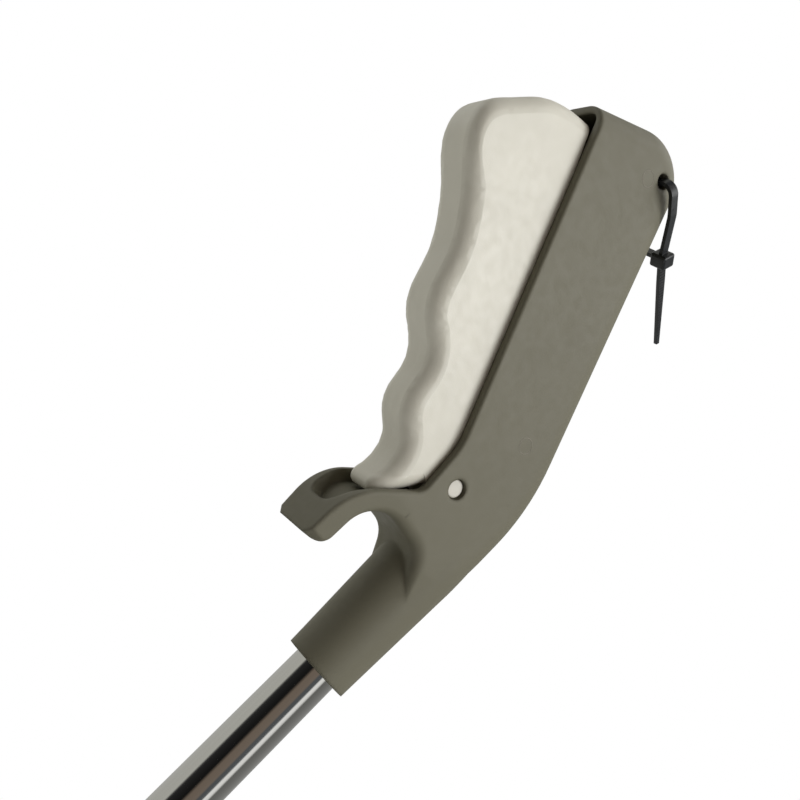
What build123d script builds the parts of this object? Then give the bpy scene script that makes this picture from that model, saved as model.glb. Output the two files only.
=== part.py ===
from build123d import *
import math
import os

# Reacher grabber, in millimetres.
# Z runs up the tube, the trigger faces -X, and the part is symmetric about the XZ plane.
# The origin is on the tube axis, level with the trigger's pivot, where the web of the hand bears.

# Housing
WIDTH = 21.5
WALL = 2.5
MOUTH_Z = -53.9
COLLAR_R = 9.35
NECK_R = 10.9
NECK_WIDEST_Z = -17.0
NECK_TAPER = (-19.0, (9.3, -36.0))
BACK_ROUND = 8.0
ARCH_ROUND = 3.0
RIM_ROUND = 0.6
PIVOT_X = -17.0
PIN_R = 2.4
PIN_HOLE_R = 2.75
PIN_SINK = 0.9
PIN_RECESS = 1.2
TIE_HOLE = (-42.5, 97.5)
TIE_HOLE_R = 2.2
SLOT_END_ROUND = 3.2

HOOK_TAPER_Z = -13.0
HOOK_SHOULDER = (9.1, -33.4)
HOOK_TIP = (4.5, -37.0)
SLOT_NARROWS_Z = -17.5
SLOT_END_HALF = 5.0
SLOT_END_Z = -26.6
CHAMBER_TOP = -8.0
THROUGH = 60.0

# Trigger and its linkage
SLOT_W = WIDTH - 2 * WALL
TRIGGER_W = SLOT_W - 0.6
TRIGGER_ROUND = 4.2
HUB_R = 6.5
TAIL_W = 5.0
TAIL_END = 4.0
ROD_R = 2.0
CROSS_PIN_R = 1.5
PIN_SLACK = 0.15
CLEVIS_R = 5.0
CLEVIS_TOP = 3.8
CLEVIS_GAP = 0.3
CLEVIS_ARM_T = 2.0
ROD_SEAT = 0.6

# Tube and rod
TUBE_R = 6.5
TUBE_WALL = 0.8
TUBE_TOP = -21.0
TUBE_BOTTOM = -452.0
BUSH_FLANGE = 1.6
SPRING_R = 4.2
SPRING_WIRE = 0.8
SPRING_TURNS = 4
CHAMBER_R = 6.2
CLEVIS_BASE = (-7.2, -4.6)
WASHER_T = 0.8
WASHER_R = 5.2
BUSH_L = 12.0
GUIDE_Z = (-130.0, -240.0, -350.0)
GUIDE_L = 8.0
SPOOL_R = 4.0

# Jaw head
HEAD_TOP = -434.0
HEAD_BOTTOM = -492.0
HEAD_W = 18.0
HEAD_SPACE = 12.6
JAW_PIVOT_X = 6.0
JAW_PIVOT_Z = -482.0
DRIVE_X = 14.5
RIVET_Z = -443.0
JAW_T = 6.0
JAW_W = 12.0
JAW_TURN = 26.5
PAD_W = 15.0
JAW_PIN_R = 1.75
DRIVE_PIN_R = 1.4
RUN_FIT = 0.05
CROSSHEAD_Z = -463.0
SCREW_AT = [(x, z) for x in (-9.6, 9.6) for z in (-438.5, -450.0)]
SCREW_R = 1.25
SCREW_HEAD_R = 2.3
SCREW_HEAD_T = 1.8
SCREW_SEAT = 2.0
SCREW_L = 13.0
PIN_HEAD_R = 3.0
PIN_HEAD_T = 1.2
RIVET_R = 1.5
ROD_SOCKET = 2.0
HEAD_ROUND = 1.8
PLATE_T = 2.7
JAW_HUB_R = 4.4
JAW_TAIL_HALF = 3.4
DRIVE_SLACK = 0.22
PAD_FACE = 3.4
PAD_TOP = -545.5
PAD_BOTTOM = -569.5
MAGNET_R = 2.0
MAGNET_L = 2.6
JAW_TIP_Z = -571.0

# Hanging tie
TIE_W = 2.5
TIE_T = 1.1
TIE_DROP = 15.0
TIE_HEAD = (22.2, -6.4)
TIE_HEAD_SIZE = (4.2, 5.2, 4.6)
TIE_LEG_TURN = 20.0
TIE_TAIL_TURN = 14.5
TIE_TAIL_L = 28.5
TIE_BEND = 3.2

os.makedirs("parts", exist_ok=True)


def save(node, shape):
    export_step(shape, f"parts/{node}.step")


def outline_xz(points, radii):
    """A face in the XZ plane: straight runs with a rounded corner at each point."""
    path = FilletPolyline(*points, radius=radii, close=True)
    return Rot(90, 0, 0) * make_face(path)


def slab(face, width, y=0.0):
    """A face in the XZ plane thickened equally to both sides of y."""
    return Pos(0, y, 0) * extrude(face, width / 2, both=True)


def rod_y(x, z, radius, length, y=0.0):
    """A cylinder along Y, centred at (x, y, z)."""
    return Pos(x, y, z) * Rot(90, 0, 0) * Cylinder(radius, length)


def rod_z(radius, low, high, x=0.0):
    """A cylinder along Z between two heights."""
    return Pos(x, 0, (low + high) / 2) * Cylinder(radius, high - low)


def block(x, y, z):
    """A box given by its (low, high) pair on each axis."""
    size = [high - low for low, high in (x, y, z)]
    middle = [(high + low) / 2 for low, high in (x, y, z)]
    return Pos(*middle) * Box(*size)


def pin_slot(left, right, z, half):
    """A slot along X for a pin that lies along Y."""
    slot = block((left, right), (-THROUGH / 2, THROUGH / 2), (z - half, z + half))
    for x in (left, right):
        slot = slot + rod_y(x, z, half, THROUGH)
    return slot


def mirrored_x(shape):
    return mirror(shape, about=Plane.YZ)


# ---------------------------------------------------------------- housing


def housing_side():
    """The side outline of handle, hook and arch. Its lower end hides in the round neck."""
    corners = [
        ((-70.0, 90.3), 0),
        ((-40.5, 117.3), 15.0),
        ((9.6, 15.3), 60.0),
        ((9.6, -8.0), 60.0),
        ((6.8, -33.0), 0),
        ((0.0, -33.5), 0),
        ((-11.3, -17.1), 8.0),
        ((-31.2, -17.1), 9.5),
        ((-31.2, -34.4), 4.0),
        ((-36.7, -35.4), 0),
        ((-37.7, -20.8), 17.0),
        ((-23.5, -7.5), 4.0),
        ((-25.1, 7.4), 20.0),
    ]
    return outline_xz([c[0] for c in corners], [c[1] for c in corners])


def neck():
    """The round collar and neck, closing in as it enters the handle."""
    profile = Polyline((0, MOUTH_Z), (COLLAR_R, MOUTH_Z), (NECK_R, NECK_WIDEST_Z))
    profile += ThreePointArc((NECK_R, NECK_WIDEST_Z), (NECK_R - 1.0, 4.0), (7.0, 20.0))
    profile += Polyline((7.0, 20.0), (0, 20.0), (0, MOUTH_Z))
    return revolve(Rot(90, 0, 0) * make_face(profile), Axis.Z)


def hook_taper():
    """Two wedges that narrow the hook towards its tip."""
    start, outside = (WIDTH / 2, HOOK_TAPER_Z), (WIDTH, HOOK_TAPER_Z)
    wedge = Polyline(start, outside, (WIDTH, HOOK_TIP[1]), HOOK_TIP, HOOK_SHOULDER, close=True)
    face = Plane.YZ * make_face(wedge)
    one = Pos(-45.0, 0, 0) * extrude(face, 23.0, dir=(1, 0, 0))
    return one + mirror(one, about=Plane.XZ)


def neck_taper():
    """Two wedges that sink the handle's flat sides into the round neck."""
    top, low = NECK_TAPER
    wedge = Polyline((WIDTH / 2, top), (WIDTH, top), (WIDTH, low[1]), low, close=True)
    one = Pos(-12.0, 0, 0) * extrude(Plane.YZ * make_face(wedge), 30.0, dir=(1, 0, 0))
    return one + mirror(one, about=Plane.XZ)


def cavity():
    """The space inside: the trigger's slot, the handle's hollow and the channel in the hook."""
    corners = [
        ((-100.0, 59.4), 0),
        ((-41.4, 113.5), 12.6),
        ((6.6, 14.6), 57.0),
        ((6.6, -9.0), 0),
        ((-14.5, -9.0), 3.0),
        ((-20.5, -14.2), 1.0),
        ((-33.4, -14.2), 12.3),
        ((-33.4, -30.0), 0),
        ((-100.0, -30.0), 0),
    ]
    side = slab(outline_xz([c[0] for c in corners], [c[1] for c in corners]), SLOT_W)
    upper = [e for e in side.edges() if is_slot_end(e)]
    side = fillet(upper, SLOT_END_ROUND)
    half, above = SLOT_W / 2, 150.0
    right = [(half, above), (half, SLOT_NARROWS_Z), (SLOT_END_HALF, SLOT_END_Z)]
    left = [(-y, z) for y, z in reversed(right)]
    front = FilletPolyline(*right, *left, radius=[0, 5.0, 4.4, 4.4, 5.0, 0], close=True)
    window = Pos(-110, 0, 0) * extrude(Plane.YZ * make_face(front), 130, dir=(1, 0, 0))
    return side & window


def is_front_rim(edge):
    c = edge.center()
    return abs(abs(c.Y) - WIDTH / 2) < 0.01 and c.X < -22 and -12.5 < c.Z < 89


def is_slot_end(edge):
    c = edge.center()
    return abs(abs(c.Y) - SLOT_W / 2) < 0.01 and (c.Z > 75 or c.X > 6.5)


def make_housing():
    handle = slab(housing_side(), WIDTH)
    limit = WIDTH / 2
    rim = [e for e in handle.edges() if abs(abs(e.center().Y) - limit) < 0.01]
    back = [e for e in rim if is_back(e)]
    handle = fillet(back, BACK_ROUND)
    arch = [e for e in handle.edges() if is_arch(e)]
    handle = fillet(arch, ARCH_ROUND)
    handle = handle - hook_taper() - neck_taper()
    body = handle + neck()
    body = body - cavity()
    body = fillet([e for e in body.edges() if is_front_rim(e)], RIM_ROUND)
    body = body - rod_z(TUBE_R, MOUTH_Z - 1, TUBE_TOP)
    body = body - rod_z(CHAMBER_R, TUBE_TOP - 0.1, CHAMBER_TOP)
    body = body - rod_y(PIVOT_X, 0, PIN_R, THROUGH)
    for side in (-1, 1):
        body = body - rod_y(PIVOT_X, 0, PIN_HOLE_R, 2 * PIN_RECESS, side * WIDTH / 2)
    return body - rod_y(*TIE_HOLE, TIE_HOLE_R, THROUGH)


def is_arch(edge):
    c = edge.center()
    return abs(abs(c.Y) - WIDTH / 2) < 0.01 and -31.5 < c.X < -2 and -32 < c.Z < -15


def is_back(edge):
    c = edge.center()
    return (c.X > -20 and c.Z > 30) or (c.Z > 95 and c.X > -69) or c.X > 9


# ---------------------------------------------------------------- trigger


def trigger_side():
    """The trigger's side outline: finger grooves at the front, hub and tail at the back."""
    front = Spline(
        (-67.9, 85.3), (-75.0, 81.1), (-80.2, 76.1), (-84.8, 68.1), (-88.0, 60.4), (-84.7, 52.2),
        (-77.0, 46.2), (-70.2, 40.3), (-64.6, 33.1), (-60.2, 23.9), (-55.8, 19.5), (-50.2, 16.6),
        (-46.2, 12.4), (-43.9, 5.0), (-40.0, 0.1), (-34.9, -3.2), (-32.6, -8.5), (-33.0, -14.0))
    nose = ThreePointArc(front @ 1, (-31.3, -17.0), (-29.0, -15.9))
    rest = Polyline(nose @ 1, (-21.5, -5.0), (PIVOT_X, -HUB_R + 0.5), (-9.0, -3.0), (TAIL_END, -3.0),
                    (TAIL_END, 3.0), (-9.0, 3.0), (-11.5, 7.0), (-24.5, 16.0), front @ 0)
    return Rot(90, 0, 0) * make_face(front + nose + rest)


def make_trigger():
    body = slab(trigger_side(), TRIGGER_W)
    limit = TRIGGER_W / 2
    rim = [e for e in body.edges() if abs(abs(e.center().Y) - limit) < 0.01]
    front = [e for e in rim if e.geom_type == GeomType.BSPLINE]
    body = fillet(front, TRIGGER_ROUND)
    behind = block((-13.5, 20), (TAIL_W / 2, 20), (-30, 30))
    body = body - behind - mirror(behind, about=Plane.XZ)
    body = body - rod_y(PIVOT_X, 0, PIN_R + RUN_FIT, THROUGH)
    return body - pin_slot(-0.1, 0.5, 0, CROSS_PIN_R + PIN_SLACK)


# ---------------------------------------------------------------- pin, clevis and spring


def make_trigger_pin():
    pin = rod_y(PIVOT_X, 0, PIN_R, WIDTH - 2 * PIN_SINK)
    return fillet(pin.edges().filter_by(GeomType.CIRCLE), 0.4)


def make_rod_clevis():
    low, high = CLEVIS_BASE
    body = rod_z(CLEVIS_R, low, high)
    inner = TAIL_W / 2 + CLEVIS_GAP
    outer = inner + CLEVIS_ARM_T
    for side in (-1, 1):
        arm = block((-3.5, 3.5), sorted((side * inner, side * outer)), (high - 0.5, CLEVIS_TOP))
        top = arm.edges().filter_by(Axis.Y).group_by(Axis.Z)[-1]
        body = body + fillet(top, 3.0)
    body = body - rod_z(ROD_R, low - 1, high - ROD_SEAT)
    return body - rod_y(0, 0, CROSS_PIN_R, 20)


def make_clevis_pin():
    return rod_y(0, 0, CROSS_PIN_R, TAIL_W + 2 * (CLEVIS_GAP + CLEVIS_ARM_T + 0.6))


def make_spring_washer():
    top = CLEVIS_BASE[0]
    return rod_z(WASHER_R, top - WASHER_T, top) - rod_z(ROD_R, top - 2, top + 1)


def make_return_spring():
    low = TUBE_TOP + BUSH_FLANGE + SPRING_WIRE / 2 + 0.05
    high = CLEVIS_BASE[0] - WASHER_T - SPRING_WIRE / 2 - 0.05
    coil = Helix(pitch=(high - low) / SPRING_TURNS, height=high - low, radius=SPRING_R)
    start = Plane(origin=coil @ 0, z_dir=coil % 0)
    return Pos(0, 0, low) * sweep(start * Circle(SPRING_WIRE / 2), path=coil)


def make_tube_top_bush():
    body = rod_z(TUBE_R - TUBE_WALL, TUBE_TOP - BUSH_L, TUBE_TOP)
    body = body + rod_z(CHAMBER_R - 0.1, TUBE_TOP, TUBE_TOP + BUSH_FLANGE)
    return body - rod_z(ROD_R + RUN_FIT, TUBE_TOP - 20, TUBE_TOP + 5)


# ---------------------------------------------------------------- tube and rod


def make_tube():
    body = rod_z(TUBE_R, TUBE_BOTTOM, TUBE_TOP) - rod_z(TUBE_R - TUBE_WALL, TUBE_BOTTOM - 1, TUBE_TOP + 1)
    return body - rod_y(0, RIVET_Z, RIVET_R, THROUGH)


def make_push_rod():
    return rod_z(ROD_R, CROSSHEAD_Z - ROD_SOCKET, CLEVIS_BASE[1] - ROD_SEAT)


def make_rod_guides():
    """Three spools on the rod, a press fit in the tube."""
    spools = []
    for z in GUIDE_Z:
        spool = rod_z(SPOOL_R, z - GUIDE_L / 2, z + GUIDE_L / 2)
        for end in (-1, 1):
            rim = z + end * (GUIDE_L / 2 - 1)
            spool = spool + rod_z(TUBE_R - TUBE_WALL, rim - 1, rim + 1)
        spools.append(spool - rod_z(ROD_R + RUN_FIT, z - GUIDE_L, z + GUIDE_L))
    return Compound(children=[s.solid() for s in spools])


# ---------------------------------------------------------------- jaw head

def mirrored_outline(half, radii):
    """A face symmetric about x = 0 from the points of its +X half, listed from top to bottom."""
    other = [(-x, z) for x, z in reversed(half)]
    return outline_xz(half + other, radii + radii[::-1])


def head_solid():
    half = [(13.0, HEAD_TOP), (13.0, -452.0), (21.5, -463.0), (21.5, -486.0), (14.0, HEAD_BOTTOM)]
    shell = slab(mirrored_outline(half, [3.0, 8.0, 8.0, 5.0, 3.0]), HEAD_W)
    rim = [e for e in shell.edges() if abs(abs(e.center().Y) - HEAD_W / 2) < 0.01]
    shell = fillet(rim, HEAD_ROUND)
    space = [(6.0, -457.0), (19.3, -464.0), (19.3, -474.0), (40.0, -474.0), (40.0, -500.0)]
    shell = shell - slab(mirrored_outline(space, [3.0, 3.0, 1.0, 0, 0]), HEAD_SPACE)
    shell = shell - rod_z(TUBE_R, TUBE_BOTTOM, HEAD_TOP + 1)
    shell = shell - rod_z(ROD_R + 0.3, CROSSHEAD_Z - 7, TUBE_BOTTOM + 1)
    for x in (-JAW_PIVOT_X, JAW_PIVOT_X):
        shell = shell - rod_y(x, JAW_PIVOT_Z, JAW_PIN_R, THROUGH)
        shell = shell - rod_y(x, JAW_PIVOT_Z, PIN_HEAD_R + 0.1, 2 * PIN_HEAD_T + 0.2, -HEAD_W / 2)
    shell = shell - rod_y(0, RIVET_Z, RIVET_R, THROUGH)
    for x, z in SCREW_AT:
        shell = shell - rod_y(x, z, SCREW_R, SCREW_L + 2.0, -1.0)
        shell = shell - rod_y(x, z, SCREW_HEAD_R + 0.1, 2 * SCREW_SEAT, -HEAD_W / 2)
    return shell


def make_head_shell(side):
    half = block((-60, 60), sorted((0, side * 30)), (HEAD_BOTTOM - 20, HEAD_TOP + 20))
    return head_solid() & half


def make_head_screws():
    screws = []
    for x, z in SCREW_AT:
        face = -HEAD_W / 2
        screw = rod_y(x, z, SCREW_R, SCREW_L, face + SCREW_SEAT + SCREW_L / 2)
        screw = screw + rod_y(x, z, SCREW_HEAD_R, SCREW_HEAD_T, face + SCREW_SEAT - SCREW_HEAD_T / 2)
        for turn in (0, 90):
            slot = Pos(x, face, z) * Rot(0, turn, 0) * Box(2.8, 2.2, 0.6)
            screw = screw - slot
        screws.append(screw.solid())
    return Compound(children=screws)


def make_head_rivets():
    inner = TUBE_R - 2.5
    length = HEAD_W / 2 - inner
    rivets = [rod_y(0, RIVET_Z, RIVET_R, length, side * (inner + length / 2)) for side in (-1, 1)]
    return Compound(children=[r.solid() for r in rivets])


def make_crosshead():
    """A slider on the rod: a centre block and two plates that straddle the jaws' tails."""
    body = block((-4.5, 4.5), (-6, 6), (CROSSHEAD_Z - 4.0, CROSSHEAD_Z + 4.0))
    outline = [(8.0, CROSSHEAD_Z + 4.0), (16.8, CROSSHEAD_Z - 4.5), (17.2, JAW_PIVOT_Z - 2.6),
               (11.8, JAW_PIVOT_Z - 2.6), (9.5, CROSSHEAD_Z - 8.0)]
    plate = mirrored_outline(outline, [2.0, 2.0, 2.0, 2.0, 2.0])
    for side in (-1, 1):
        body = body + slab(plate, PLATE_T, side * (JAW_T / 2 + CLEVIS_GAP + PLATE_T / 2))
    body = body - rod_z(ROD_R, CROSSHEAD_Z - ROD_SOCKET, CROSSHEAD_Z + 10)
    for x in (-DRIVE_X, DRIVE_X):
        body = body - rod_y(x, JAW_PIVOT_Z, DRIVE_PIN_R, THROUGH)
    return body


def make_crosshead_pins():
    pins = [rod_y(x, JAW_PIVOT_Z, DRIVE_PIN_R, 12.0) for x in (-DRIVE_X, DRIVE_X)]
    return Compound(children=[p.solid() for p in pins])


def make_jaw_pivot_pins():
    pins = []
    for x in (-JAW_PIVOT_X, JAW_PIVOT_X):
        pin = rod_y(x, JAW_PIVOT_Z, JAW_PIN_R, HEAD_W)
        head = rod_y(x, JAW_PIVOT_Z, PIN_HEAD_R, PIN_HEAD_T, -HEAD_W / 2 + PIN_HEAD_T / 2 + 0.1)
        pins.append((pin + head).solid())
    return Compound(children=pins)


# ---------------------------------------------------------------- jaws


def opened(shape):
    """Turns a piece of the +X jaw from the closed pose to the open rest pose."""
    pivot = Pos(JAW_PIVOT_X, 0, JAW_PIVOT_Z)
    return pivot * Rot(0, -JAW_TURN, 0) * Pos(-JAW_PIVOT_X, 0, -JAW_PIVOT_Z) * shape


def jaw_arm():
    """The curved finger of the +X jaw, in the closed pose."""
    corners = [
        ((9.5, -486.0), 2.0),
        ((27.0, -505.0), 16.0),
        ((25.0, -538.0), 24.0),
        ((10.0, -566.0), 10.0),
        ((7.0, JAW_TIP_Z), 2.5),
        ((PAD_FACE, JAW_TIP_Z), 1.0),
        ((PAD_FACE, -547.0), 5.0),
        ((17.0, -528.0), 18.0),
        ((18.5, -509.0), 12.0),
        ((3.5, -487.0), 2.0),
    ]
    face = outline_xz([c[0] for c in corners], [c[1] for c in corners])
    arm = slab(face, JAW_W)
    rim = [e for e in arm.edges() if abs(abs(e.center().Y) - JAW_W / 2) < 0.01]
    arm = fillet(rim, 0.9)
    root = block((-10, 40), (JAW_T / 2, 20), (-498.0, -480.0))
    return arm - root - mirror(root, about=Plane.XZ)


def make_jaw():
    """The +X jaw in its open rest pose."""
    hub = rod_y(JAW_PIVOT_X, JAW_PIVOT_Z, JAW_HUB_R, JAW_T)
    low, high = JAW_PIVOT_Z - JAW_TAIL_HALF, JAW_PIVOT_Z + JAW_TAIL_HALF
    tail = block((JAW_PIVOT_X, DRIVE_X), (-JAW_T / 2, JAW_T / 2), (low, high))
    tail = tail + rod_y(DRIVE_X + 0.2, JAW_PIVOT_Z, JAW_TAIL_HALF, JAW_T)
    body = opened(jaw_arm()) + hub + tail
    body = body - rod_y(JAW_PIVOT_X, JAW_PIVOT_Z, JAW_PIN_R + RUN_FIT, THROUGH)
    return body - pin_slot(DRIVE_X - 0.1, DRIVE_X + 1.1, JAW_PIVOT_Z, DRIVE_PIN_R + DRIVE_SLACK)


def magnet():
    return opened(rod_z(MAGNET_R, JAW_TIP_Z, JAW_TIP_Z + MAGNET_L, x=5.6))


def make_pad():
    pad = block((0.4, PAD_FACE), (-PAD_W / 2, PAD_W / 2), (PAD_BOTTOM, PAD_TOP))
    upright = pad.edges().filter_by(Axis.X)
    pad = fillet(upright, 2.0)
    front = pad.edges().group_by(Axis.X)[0]
    return opened(fillet(front, 0.8))


# ---------------------------------------------------------------- hanging tie


def tie_plane():
    """In this plane x runs from the hole away from the handle and y runs along the hole."""
    away = (math.cos(math.radians(TIE_DROP)), 0, -math.sin(math.radians(TIE_DROP)))
    across = Vector(*away).cross(Vector(0, 1, 0))
    return Plane(origin=(TIE_HOLE[0], 0, TIE_HOLE[1]), x_dir=away, z_dir=across)


def make_hang_tie():
    """A loop through the hole and round the handle's back. Its near leg runs on as the tail."""
    plane = tie_plane()
    u, v = TIE_HEAD
    corners = [(u - 1.0, v + 1.6), (15.0, 12.0), (0, 14.8), (0, -14.6), (9.4, -12.2), (u, v)]
    loop = FilletPolyline(*corners, radius=[6.0, TIE_BEND, TIE_BEND, 9.0])
    strap = plane * extrude(offset_band(loop), TIE_W / 2, both=True)
    cube = Box(*TIE_HEAD_SIZE)
    head = plane * Pos(u, v, 0) * Rot(0, 0, TIE_LEG_TURN) * fillet(cube.edges(), 0.7)
    half, tip_half, straight = TIE_W / 2, 0.6, TIE_TAIL_L / 4
    tail = Polyline((0, -half), (straight, -half), (TIE_TAIL_L, -tip_half), (TIE_TAIL_L, tip_half),
                    (straight, half), (0, half), close=True)
    tail = extrude(make_face(tail), TIE_T / 2, both=True)
    tail = plane * Pos(u, v, 0) * Rot(0, 0, TIE_TAIL_TURN) * Rot(90, 0, 0) * tail
    return strap + head + tail


def offset_band(path):
    """A strip of the tie's thickness along an open path."""
    line = Wire(path.edges())
    section = Plane(origin=path @ 0, z_dir=path % 0, x_dir=(0, 0, 1)) * Rectangle(0.2, TIE_T)
    strip = sweep(section, path=line)
    return strip.faces().filter_by(Axis.Z).sort_by(Axis.Z)[0]


save("housing", make_housing())
save("trigger", make_trigger())
save("trigger_pin", make_trigger_pin())
save("rod_clevis", make_rod_clevis())
save("clevis_pin", make_clevis_pin())
save("spring_washer", make_spring_washer())
save("return_spring", make_return_spring())
save("tube_top_bush", make_tube_top_bush())
save("tube", make_tube())
save("push_rod", make_push_rod())
save("rod_guides", make_rod_guides())
save("head_shell_near", make_head_shell(-1))
save("head_shell_far", make_head_shell(1))
save("head_screws", make_head_screws())
save("head_rivets", make_head_rivets())
save("crosshead", make_crosshead())
save("crosshead_pins", make_crosshead_pins())
save("jaw_pivot_pins", make_jaw_pivot_pins())
jaw = make_jaw()
save("jaw_rear", jaw)
save("jaw_front", mirrored_x(jaw) - mirrored_x(magnet()))
save("jaw_magnet", mirrored_x(magnet()))
save("jaw_pad_rear", make_pad())
save("jaw_pad_front", mirrored_x(make_pad()))
save("hang_tie", make_hang_tie())
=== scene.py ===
import math

import bmesh
import bpy
from mathutils import Matrix, Vector


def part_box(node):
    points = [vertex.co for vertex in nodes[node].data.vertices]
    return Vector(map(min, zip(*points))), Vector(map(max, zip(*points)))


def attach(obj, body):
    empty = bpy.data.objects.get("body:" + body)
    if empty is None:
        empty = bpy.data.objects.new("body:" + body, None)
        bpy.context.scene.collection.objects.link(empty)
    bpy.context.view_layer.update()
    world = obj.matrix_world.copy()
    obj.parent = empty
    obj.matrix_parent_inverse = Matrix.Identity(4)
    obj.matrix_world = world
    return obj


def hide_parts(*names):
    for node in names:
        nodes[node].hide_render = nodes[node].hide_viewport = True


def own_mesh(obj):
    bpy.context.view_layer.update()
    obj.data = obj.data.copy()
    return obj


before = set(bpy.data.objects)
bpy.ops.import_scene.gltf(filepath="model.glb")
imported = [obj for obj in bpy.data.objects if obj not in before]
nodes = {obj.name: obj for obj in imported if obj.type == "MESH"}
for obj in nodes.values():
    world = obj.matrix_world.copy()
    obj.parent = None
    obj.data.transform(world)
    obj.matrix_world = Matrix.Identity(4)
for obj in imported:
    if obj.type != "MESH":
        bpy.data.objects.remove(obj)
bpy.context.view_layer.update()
scene = bpy.context.scene

MM = 0.001

# Camera, in the part's frame
CAMERA_AT = Vector((-127.2, -152.4, -47.5)) * MM
CAMERA_RIGHT = Vector((0.48219, -0.51234, 0.71064))
CAMERA_UP = Vector((-0.7382, 0.1992, 0.6445))
CAMERA_LENS = 33.075
SENSOR = 36.0
CLIP_START = 0.01
CLIP_END = 20.0

# Light
KEY_FROM = Vector((0.30, -0.80, 0.42))
KEY_AWAY = 0.9
KEY_SIZE = 0.55
KEY_POWER = 5.4
FILL_FROM = Vector((-0.75, 0.55, 0.35))
FILL_AWAY = 1.1
FILL_SIZE = 0.7
FILL_POWER = 1.2
TOP_FROM = Vector((0.15, -0.25, 1.0))
TOP_AWAY = 0.95
TOP_SIZE = 0.7
TOP_POWER = 2.6
WHITE = (1, 1, 1, 1)

# Floor, a little below the closed jaws
FLOOR_Z = -572.5 * MM
FLOOR_R = 0.45
FLOOR_SIDES = 96
FLOOR_COLOUR = (0.80, 0.80, 0.79)

# Brightness of the room all round the object: (direction in degrees from +X, colour)
ROOM = [
    (-180, (0.03, 0.03, 0.03)),
    (-140, (0.01, 0.01, 0.01)),
    (-128, (0.24, 0.19, 0.15)),
    (-100, (0.26, 0.21, 0.17)),
    (-94, (0.12, 0.13, 0.14)),
    (-80, (0.13, 0.14, 0.15)),
    (-74, (1.30, 1.30, 1.28)),
    (-62, (1.10, 1.10, 1.08)),
    (-54, (0.20, 0.20, 0.19)),
    (50, (0.45, 0.45, 0.44)),
    (95, (0.62, 0.62, 0.58)),
    (168, (0.66, 0.66, 0.61)),
    (176, (0.06, 0.06, 0.06)),
]

# Plastic and metal colours
TAUPE = (0.158, 0.150, 0.108)
CREAM = (0.675, 0.655, 0.565)
PIN_CREAM = (0.62, 0.60, 0.53)
INNER_GREY = (0.16, 0.16, 0.155)
STEEL = (0.52, 0.51, 0.49)
SPRING = (0.34, 0.335, 0.33)
TUBE_METAL = (0.52, 0.515, 0.50)
RUBBER = (0.028, 0.028, 0.030)
MAGNET = (0.60, 0.59, 0.56)
NYLON = (0.010, 0.012, 0.014)

# Surface detail: sizes and depths in mm, roughness from 0 to 1
NOISE_LOW = 0.3
NOISE_HIGH = 0.7
EDGE_SAMPLES = 6
SMALL_EDGE = 0.3
SOFT_EDGE = 1.6
WAVE_SIZE = 14.0
WAVE_DEPTH = 0.03
ROUGH_PATCH = 2.5
TAUPE_ROUGH = (0.52, 0.62)
TAUPE_GLOSS = 0.3
TAUPE_SPREAD = 0.02
TAUPE_MOTTLE = 22.0
TAUPE_GRAIN = 0.32
TAUPE_DEPTH = 0.009
METAL_LINE = 0.25
METAL_CLOUD = 1.5
RUBBER_GLOSS = 0.35
RUBBER_ROUGH = (0.62, 0.82)
RUBBER_CLOUD = 3.0
RUBBER_SPREAD = 0.35
RUBBER_PATCH = 1.2
RUBBER_PEBBLE = 0.35
RUBBER_DEPTH = 0.03

# Jaw pads, with the jaws closed (mm and degrees)
PAD_BACK = 3.4
PAD_FACE = 0.4
PAD_HALF_W = 7.5
PAD_BOTTOM = -569.5
PAD_L = 24.0
PAD_ROUND = 2.0
PAD_EDGE = 0.8
PAD_GROOVES = 8
GROOVE_W = 1.5
GROOVE_DEPTH = 0.7
GROOVE_FULLNESS = 0.6
PAD_CORNER_TURNS = (0, 22.5, 45, 67.5, 90)
PAD_STATIONS = 145
JAW_PIVOT = Vector((6.0, 0.0, -482.0))
JAW_TURN = 26.5

# Tie (mm and degrees). A tooth's length and peak are shares of the pitch.
TIE_HOLE = Vector((-42.5, 0.0, 97.5))
TIE_DROP = 15.0
TIE_HEAD = (22.2, -6.4)
TIE_TAIL_TURN = 14.5
TIE_HALF_T = 0.55
TEETH_FROM = 3.6
TEETH_PITCH = 0.9
TEETH_COUNT = 25
TOOTH_RISE = 0.16
TOOTH_SINK = 0.1
TOOTH_LENGTH = 0.8
TOOTH_PEAK = 0.15
TOOTH_HALF_W = 0.85
TOOTH_TAPER_FROM = 7.1
TOOTH_TAPER = 0.026

# Return spring (mm). On the real tool it shortens as the rod pushes down on it; the coil here keeps
# one length.
SPRING_WIRE_R = 0.4
SPRING_TURNS = 4
SPRING_STEPS = 32 * SPRING_TURNS
SPRING_SIDES = 12

# Ejector marks on the housing's sides (mm)
MARK_AT = [(-46.3, 93.0), (-11.5, 22.5)]
MARK_R = 2.2
MARK_BAND = 0.22
MARK_RISE = 0.05
MARK_FLAT = 0.4
MARK_STEPS = 48
HOUSING_HALF_W = 10.75


# ---------------------------------------------------------------- studio


def make_camera():
    data = bpy.data.cameras.new("camera")
    data.lens = CAMERA_LENS
    data.sensor_width = SENSOR
    data.clip_start = CLIP_START
    data.clip_end = CLIP_END
    camera = bpy.data.objects.new("camera", data)
    scene.collection.objects.link(camera)
    back = CAMERA_RIGHT.cross(CAMERA_UP).normalized()
    right = CAMERA_UP.cross(back).normalized()
    turn = Matrix((right, back.cross(right), back)).transposed().to_4x4()
    camera.matrix_world = Matrix.Translation(CAMERA_AT) @ turn
    scene.camera = camera


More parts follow.
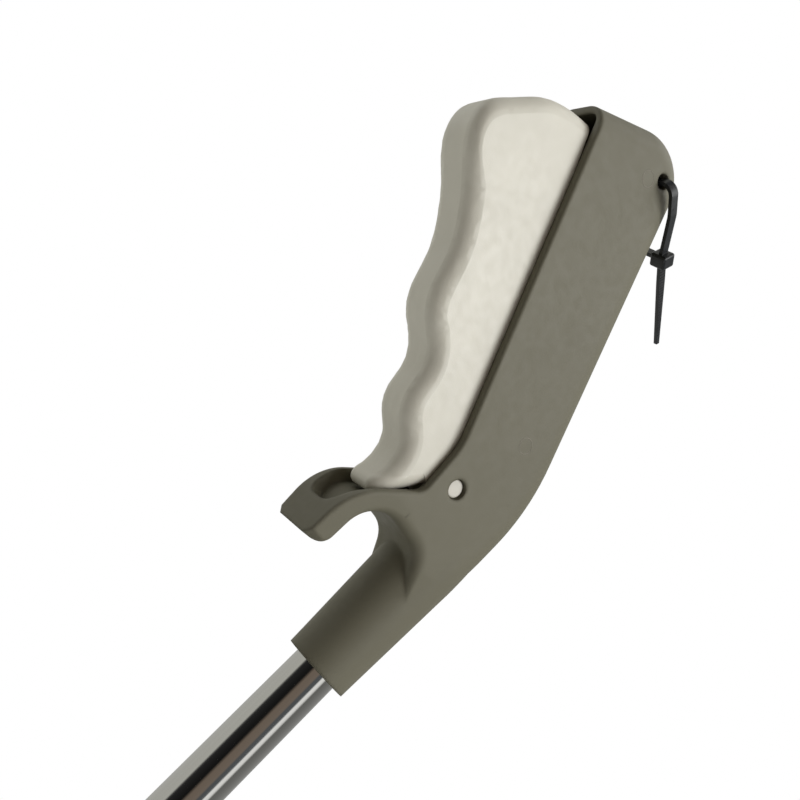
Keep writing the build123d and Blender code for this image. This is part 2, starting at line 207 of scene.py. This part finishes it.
def soft_light(name, come_from, away, size, power):
    """A square softbox that faces the grip."""
    data = bpy.data.lights.new(name, "AREA")
    data.shape = "SQUARE"
    data.size = size
    data.energy = power
    light = bpy.data.objects.new(name, data)
    scene.collection.objects.link(light)
    direction = come_from.normalized()
    light.location = direction * away
    light.rotation_euler = direction.to_track_quat("Z", "Y").to_euler()


def make_room():
    """White behind the object, and soft light and dark areas round it for the metal to mirror."""
    world = bpy.data.worlds.new("room")
    world.use_nodes = True
    scene.world = world
    tree = world.node_tree
    coords = tree.nodes.new("ShaderNodeTexCoord")
    split = tree.nodes.new("ShaderNodeSeparateXYZ")
    angle = tree.nodes.new("ShaderNodeMath")
    angle.operation = "ARCTAN2"
    turn = tree.nodes.new("ShaderNodeMapRange")
    turn.inputs["From Min"].default_value = -math.pi
    turn.inputs["From Max"].default_value = math.pi
    ramp = colour_ramp(tree, [((degrees + 180) / 360, colour) for degrees, colour in ROOM])
    path = tree.nodes.new("ShaderNodeLightPath")
    mix = tree.nodes.new("ShaderNodeMix")
    mix.data_type = "RGBA"
    mix.inputs["B"].default_value = WHITE
    sky = tree.nodes["Background"]
    tree.links.new(coords.outputs["Generated"], split.inputs[0])
    tree.links.new(split.outputs["Y"], angle.inputs[0])
    tree.links.new(split.outputs["X"], angle.inputs[1])
    tree.links.new(angle.outputs[0], turn.inputs["Value"])
    tree.links.new(turn.outputs[0], ramp.inputs[0])
    tree.links.new(path.outputs["Is Camera Ray"], mix.inputs["Factor"])
    tree.links.new(ramp.outputs["Color"], mix.inputs["A"])
    tree.links.new(mix.outputs["Result"], sky.inputs["Color"])


def make_floor():
    mesh = bpy.data.meshes.new("floor")
    bm = bmesh.new()
    bmesh.ops.create_circle(bm, cap_ends=True, segments=FLOOR_SIDES, radius=FLOOR_R)
    bm.to_mesh(mesh)
    bm.free()
    floor = bpy.data.objects.new("floor", mesh)
    floor.location.z = FLOOR_Z
    scene.collection.objects.link(floor)
    mesh.materials.append(
        plastic("floor_pale", FLOOR_COLOUR, rough=(0.7, 0.8), mottle=30.0, grain=2.0, depth=0.01))


# ---------------------------------------------------------------- materials


def colour_ramp(tree, stops):
    ramp = tree.nodes.new("ShaderNodeValToRGB")
    elements = ramp.color_ramp.elements
    for i, (place, colour) in enumerate(stops):
        element = elements[i] if i < 2 else elements.new(place)
        element.position = place
        element.color = (*colour, 1)
    return ramp


def shade(colour, factor):
    return tuple(c * factor for c in colour)


def start_material(name, stretch=(1, 1, 1)):
    """A material, its shader, and coordinates in millimetres, divided by stretch."""
    mat = bpy.data.materials.new(name)
    mat.use_nodes = True
    tree = mat.node_tree
    coords = tree.nodes.new("ShaderNodeTexCoord")
    scale = tree.nodes.new("ShaderNodeMapping")
    scale.inputs["Scale"].default_value = [1 / (MM * s) for s in stretch]
    tree.links.new(coords.outputs["Object"], scale.inputs["Vector"])
    return mat, tree.nodes["Principled BSDF"], scale.outputs["Vector"]


def noise(tree, coords, size, detail):
    """Noise whose features are about size millimetres across."""
    node = tree.nodes.new("ShaderNodeTexNoise")
    node.inputs["Scale"].default_value = 1 / size
    node.inputs["Detail"].default_value = detail
    tree.links.new(coords, node.inputs["Vector"])
    return node.outputs[0]


def add_colour(tree, shader, value, colour, spread):
    low, high = shade(colour, 1 - spread), shade(colour, 1 + spread)
    ramp = colour_ramp(tree, [(NOISE_LOW, low), (NOISE_HIGH, high)])
    tree.links.new(value, ramp.inputs[0])
    tree.links.new(ramp.outputs["Color"], shader.inputs["Base Color"])


def add_roughness(tree, shader, value, rough):
    node = tree.nodes.new("ShaderNodeMapRange")
    node.inputs["From Min"].default_value = NOISE_LOW
    node.inputs["From Max"].default_value = NOISE_HIGH
    node.inputs["To Min"].default_value = rough[0]
    node.inputs["To Max"].default_value = rough[1]
    tree.links.new(value, node.inputs["Value"])
    tree.links.new(node.outputs[0], shader.inputs["Roughness"])


def rounded_normal(tree, radius):
    """The surface direction, softened across edges as moulding softens them."""
    node = tree.nodes.new("ShaderNodeBevel")
    node.samples = EDGE_SAMPLES
    node.inputs["Radius"].default_value = radius * MM
    return node.outputs["Normal"]


def add_bumps(tree, shader, heights, normal=None):
    """Bumps on top of each other. Each is (height value, depth in millimetres)."""
    for value, depth in heights:
        node = tree.nodes.new("ShaderNodeBump")
        node.inputs["Distance"].default_value = depth * MM
        tree.links.new(value, node.inputs["Height"])
        if normal:
            tree.links.new(normal, node.inputs["Normal"])
        normal = node.outputs["Normal"]
    tree.links.new(normal, shader.inputs["Normal"])


def plastic(name, colour, rough, mottle, grain, depth, spread=0.03, soft=SMALL_EDGE, gloss=0.5):
    """Moulded plastic: cloudy colour, a fine spark-eroded grain and a slight waviness."""
    mat, shader, coords = start_material(name)
    tree = mat.node_tree
    shader.inputs["Specular IOR Level"].default_value = gloss
    cloud = noise(tree, coords, mottle, detail=4.0)
    fine = noise(tree, coords, grain, detail=1.0)
    wave = noise(tree, coords, WAVE_SIZE, detail=0.0)
    add_colour(tree, shader, cloud, colour, spread)
    add_roughness(tree, shader, noise(tree, coords, ROUGH_PATCH, detail=3.0), rough)
    add_bumps(tree, shader, [(wave, WAVE_DEPTH), (fine, depth)], rounded_normal(tree, soft))
    return mat


def metal(name, colour, rough, stretch, depth, spread=0.06):
    """Metal with fine lines along the stretched direction."""
    mat, shader, coords = start_material(name, stretch)
    tree = mat.node_tree
    shader.inputs["Metallic"].default_value = 1.0
    lines = noise(tree, coords, METAL_LINE, detail=3.0)
    add_colour(tree, shader, noise(tree, coords, METAL_CLOUD, detail=3.0), colour, spread)
    add_roughness(tree, shader, lines, rough)
    add_bumps(tree, shader, [(lines, depth)])
    return mat


def rubber(name):
    """Moulded rubber with a dusty bloom and a fine pebble."""
    mat, shader, coords = start_material(name)
    tree = mat.node_tree
    shader.inputs["Specular IOR Level"].default_value = RUBBER_GLOSS
    add_colour(tree, shader, noise(tree, coords, RUBBER_CLOUD, detail=5.0), RUBBER, RUBBER_SPREAD)
    add_roughness(tree, shader, noise(tree, coords, RUBBER_PATCH, detail=3.0), RUBBER_ROUGH)
    add_bumps(tree, shader, [(noise(tree, coords, RUBBER_PEBBLE, detail=1.0), RUBBER_DEPTH)])
    return mat


def paint(node, mat):
    mesh = nodes[node].data
    mesh.materials.clear()
    mesh.materials.append(mat)


def taupe(name, soft):
    """The housing's plastic, with its edges softened by this many millimetres."""
    return plastic(name, TAUPE, TAUPE_ROUGH, TAUPE_MOTTLE, TAUPE_GRAIN, TAUPE_DEPTH,
                   spread=TAUPE_SPREAD, soft=soft, gloss=TAUPE_GLOSS)


def finish_plastics():
    finishes = [
        (taupe("taupe_plastic", SOFT_EDGE), ["housing"]),
        (plastic("cream_plastic", CREAM, rough=(0.36, 0.50), mottle=11.0, grain=0.35, depth=0.016),
         ["trigger"]),
        (plastic("pin_plastic", PIN_CREAM, rough=(0.34, 0.46), mottle=4.0, grain=0.30, depth=0.012,
                 spread=0.04),
         ["trigger_pin", "clevis_pin"]),
        (plastic("inner_plastic", INNER_GREY, rough=(0.45, 0.6), mottle=6.0, grain=0.3, depth=0.02),
         ["rod_clevis", "tube_top_bush", "rod_guides", "crosshead"]),
        (taupe("shell_plastic", SMALL_EDGE),
         ["head_shell_near", "head_shell_far", "jaw_rear", "jaw_front"]),
        (plastic("black_nylon", NYLON, rough=(0.26, 0.40), mottle=3.0, grain=0.5, depth=0.015,
                 spread=0.2),
         ["hang_tie"]),
    ]
    paint_all(finishes)


def finish_metals():
    finishes = [
        (metal("steel", STEEL, rough=(0.22, 0.36), stretch=(1, 1, 12), depth=0.004),
         ["push_rod", "spring_washer", "head_screws", "head_rivets", "crosshead_pins",
          "jaw_pivot_pins"]),
        (metal("spring_steel", SPRING, rough=(0.25, 0.40), stretch=(6, 6, 1), depth=0.006),
         ["return_spring"]),
        (metal("polished_tube", TUBE_METAL, rough=(0.06, 0.13), stretch=(1, 1, 60), depth=0.0003,
               spread=0.03),
         ["tube"]),
        (metal("magnet_metal", MAGNET, rough=(0.18, 0.30), stretch=(1, 8, 8), depth=0.003),
         ["jaw_magnet"]),
    ]
    paint_all(finishes)


def paint_all(finishes):
    """Each material goes on the CAD nodes named beside it."""
    for mat, names in finishes:
        for node in names:
            paint(node, mat)


# ---------------------------------------------------------------- new pieces


def add_piece(name, bm, material, body):
    mesh = bpy.data.meshes.new(name)
    bm.to_mesh(mesh)
    bm.free()
    mesh.materials.append(bpy.data.materials[material])
    piece = bpy.data.objects.new(name, mesh)
    scene.collection.objects.link(piece)
    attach(piece, body)
    return piece


def join_loops(bm, loops):
    """Faces between each closed loop of points and the next."""
    for a, b in zip(loops, loops[1:]):
        for i in range(len(a)):
            j = (i + 1) % len(a)
            bm.faces.new((a[i], a[j], b[j], b[i]))


def make_marks():
    """The faint raised rings that ejector pins leave on both sides of the housing."""
    for side in (-1, 1):
        bm = bmesh.new()
        for x, z in MARK_AT:
            add_ring(bm, x, side, z)
        name = "housing_marks_near" if side < 0 else "housing_marks_far"
        add_piece(name, bm, "taupe_plastic", "handle")


def add_ring(bm, x, side, z):
    """A low closed ring whose section is a flat-topped ridge sunk a little into the side."""
    half = MARK_BAND / 2
    flat = half * MARK_FLAT
    section = [(-half, -MARK_RISE), (-flat, MARK_RISE), (flat, MARK_RISE), (half, -MARK_RISE)]
    loops = []
    for i in range(MARK_STEPS):
        angle = 2 * math.pi * i / MARK_STEPS
        loop = []
        for out, rise in section:
            radius = MARK_R + out
            place = Vector((x + radius * math.cos(angle), side * (HOUSING_HALF_W + rise),
                            z + radius * math.sin(angle)))
            loop.append(bm.verts.new(place * MM))
        loops.append(loop)
    join_loops(bm, loops + loops[:1])
    bmesh.ops.recalc_face_normals(bm, faces=bm.faces)


def make_spring():
    """The coil round the rod, at the CAD spring's length. On the real tool it shortens by the rod's
    travel when the trigger is squeezed.
    """
    low, high = (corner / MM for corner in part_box("return_spring"))
    radius = high.x - SPRING_WIRE_R
    foot, head = low.z + SPRING_WIRE_R, high.z - SPRING_WIRE_R
    loops = []
    bm = bmesh.new()
    for i in range(SPRING_STEPS + 1):
        angle = 2 * math.pi * SPRING_TURNS * i / SPRING_STEPS
        outward = Vector((math.cos(angle), math.sin(angle), 0))
        centre = outward * radius + Vector((0, 0, foot + (head - foot) * i / SPRING_STEPS))
        loop = []
        for j in range(SPRING_SIDES):
            around = 2 * math.pi * j / SPRING_SIDES
            offset = outward * math.cos(around) + Vector((0, 0, math.sin(around)))
            loop.append(bm.verts.new((centre + offset * SPRING_WIRE_R) * MM))
        loops.append(loop)
    join_loops(bm, loops)
    bm.faces.new(loops[0])
    bm.faces.new(loops[-1])
    bmesh.ops.recalc_face_normals(bm, faces=bm.faces)
    piece = add_piece("coil_spring", bm, "spring_steel", "handle")
    for face in piece.data.polygons:
        face.use_smooth = len(face.vertices) == 4
    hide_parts("return_spring")
    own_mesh(piece)


def end_round(distance, radius):
    """How far a rounded end steps back at this distance from the end."""
    if distance >= radius:
        return 0.0
    return radius - math.sqrt(max(radius**2 - (radius - distance) ** 2, 0.0))


def groove_depth(along):
    """The depth of the pad's cross grooves at a distance from its lower end."""
    pitch = PAD_L / (PAD_GROOVES + 1)
    from_groove = abs(along - pitch * max(1, min(PAD_GROOVES, round(along / pitch))))
    if from_groove > GROOVE_W / 2:
        return 0.0
    return GROOVE_DEPTH * math.cos(math.pi * from_groove / GROOVE_W) ** GROOVE_FULLNESS


def pad_section(along):
    """The pad's outline across its width: a flat back and a face with rounded edges."""
    from_end = min(along, PAD_L - along)
    half = PAD_HALF_W - end_round(from_end, PAD_ROUND)
    face = PAD_FACE + groove_depth(along) + end_round(from_end, PAD_EDGE)
    corner = [math.radians(a) for a in PAD_CORNER_TURNS]
    edge = [(face + PAD_EDGE * (1 - math.sin(a)), half - PAD_EDGE * (1 - math.cos(a))) for a in corner]
    return [(PAD_BACK, half)] + edge + [(x, -y) for x, y in reversed(edge)] + [(PAD_BACK, -half)]


def make_pad(side, node, body):
    """A ribbed rubber pad in place of a plain one, on the open jaw. side is -1 or 1, for -X or +X."""
    bm = bmesh.new()
    opened = Matrix.Rotation(math.radians(-JAW_TURN), 3, "Y")
    loops = []
    for i in range(PAD_STATIONS):
        along = PAD_L * i / (PAD_STATIONS - 1)
        loop = []
        for x, y in pad_section(along):
            place = opened @ (Vector((x, y, PAD_BOTTOM + along)) - JAW_PIVOT) + JAW_PIVOT
            loop.append(bm.verts.new(Vector((side * place.x, place.y, place.z)) * MM))
        loops.append(loop)
    join_loops(bm, loops)
    bm.faces.new(loops[0])
    bm.faces.new(loops[-1])
    bmesh.ops.recalc_face_normals(bm, faces=bm.faces)
    piece = add_piece("ribbed_" + node, bm, "pad_rubber", body)
    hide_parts(node)


def make_tie_teeth():
    """The ratchet teeth across the tie's tail, which get shorter as the tail narrows."""
    drop, turn = math.radians(TIE_DROP), math.radians(TIE_TAIL_TURN)
    away = Vector((math.cos(drop), 0, -math.sin(drop)))
    across = Vector((math.sin(drop), 0, math.cos(drop)))
    side = Vector((0, 1, 0))
    along = away * math.cos(turn) + side * math.sin(turn)
    out = away * math.sin(turn) - side * math.cos(turn)
    root = TIE_HOLE + away * TIE_HEAD[0] + side * TIE_HEAD[1]
    bm = bmesh.new()
    for i in range(TEETH_COUNT):
        start = TEETH_FROM + i * TEETH_PITCH
        half = TOOTH_HALF_W - TOOTH_TAPER * max(0.0, start - TOOTH_TAPER_FROM)
        foot = TIE_HALF_T - TOOTH_SINK
        profile = [(start, foot), (start + TEETH_PITCH * TOOTH_LENGTH, foot),
                   (start + TEETH_PITCH * TOOTH_PEAK, TIE_HALF_T + TOOTH_RISE)]
        ends = []
        for w in (-half, half):
            ends.append([bm.verts.new((root + along * u + out * v + across * w) * MM)
                         for u, v in profile])
        join_loops(bm, ends)
        bm.faces.new(ends[0])
        bm.faces.new(ends[1])
    bmesh.ops.recalc_face_normals(bm, faces=bm.faces)
    add_piece("tie_teeth", bm, "black_nylon", "hang_tie")


make_camera()
make_room()
soft_light("key", KEY_FROM, KEY_AWAY, KEY_SIZE, KEY_POWER)
soft_light("fill", FILL_FROM, FILL_AWAY, FILL_SIZE, FILL_POWER)
soft_light("top", TOP_FROM, TOP_AWAY, TOP_SIZE, TOP_POWER)
make_floor()
finish_plastics()
finish_metals()
paint_all([(rubber("pad_rubber"), ["jaw_pad_rear", "jaw_pad_front"])])
make_marks()
make_pad(-1, "jaw_pad_front", "jaw_front")
make_pad(1, "jaw_pad_rear", "jaw_rear")
make_tie_teeth()
make_spring()
scene.view_settings.view_transform = "Standard"
